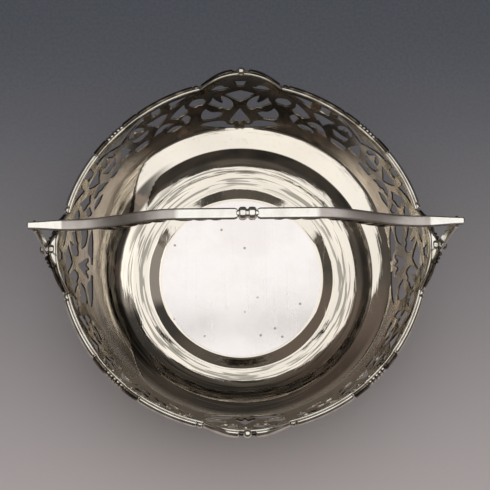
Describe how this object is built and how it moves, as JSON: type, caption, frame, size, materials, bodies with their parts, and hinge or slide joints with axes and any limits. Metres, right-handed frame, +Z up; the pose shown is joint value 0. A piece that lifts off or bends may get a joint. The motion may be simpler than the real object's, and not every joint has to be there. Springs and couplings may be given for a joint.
{
  "type": "sugar basket",
  "caption": "Round silver sugar basket with a pierced scroll gallery, shaped applied rim, low foot and a swing handle turning on ball-headed pins.",
  "frame": {"origin": "middle of the foot's flat ring, on the surface that the basket stands on", "axes": "+Z up, X along the two pivot pins of the handle, the front crest towards -Y"},
  "size_m": [0.1354, 0.1258, 0.0994],
  "materials": {
    "polished_silver": "polished silver, warm white, with fine scratches and a few small tarnish specks",
    "applied_silver": "cast and chased silver, bright on top and dark in the recesses",
    "pin_silver": "bright silver pins, dulled round their shafts",
    "handle_silver": "polished silver with softened edges"
  },
  "bodies": {
    "basket": {"bowl": "polished_silver", "foot": "polished_silver", "rim_run_back_right_1": "applied_silver", "rim_run_back_right_2": "applied_silver", "rim_run_back_left_1": "applied_silver", "rim_run_back_left_2": "applied_silver", "rim_run_front_left_1": "applied_silver", "rim_run_front_left_2": "applied_silver", "rim_run_front_right_1": "applied_silver", "rim_run_front_right_2": "applied_silver", "corner_mount_back_right": "applied_silver", "corner_mount_back_left": "applied_silver", "corner_mount_front_left": "applied_silver", "corner_mount_front_right": "applied_silver", "crest_mount_back": "applied_silver", "crest_mount_front": "applied_silver", "pivot_crest_left": "applied_silver", "pivot_crest_right": "applied_silver", "pivot_pin_left": "pin_silver", "pivot_pin_right": "pin_silver"},
    "handle": {"handle_half_left": "handle_silver", "handle_half_right": "handle_silver", "handle_collar": "handle_silver"}
  },
  "joints": [
    {"name": "handle_swing", "type": "hinge", "parent": "basket", "child": "handle", "pos_m": [0, 0, 0.0543], "axis": [1, 0, 0], "range_deg": [-95, 95]}
  ]
}
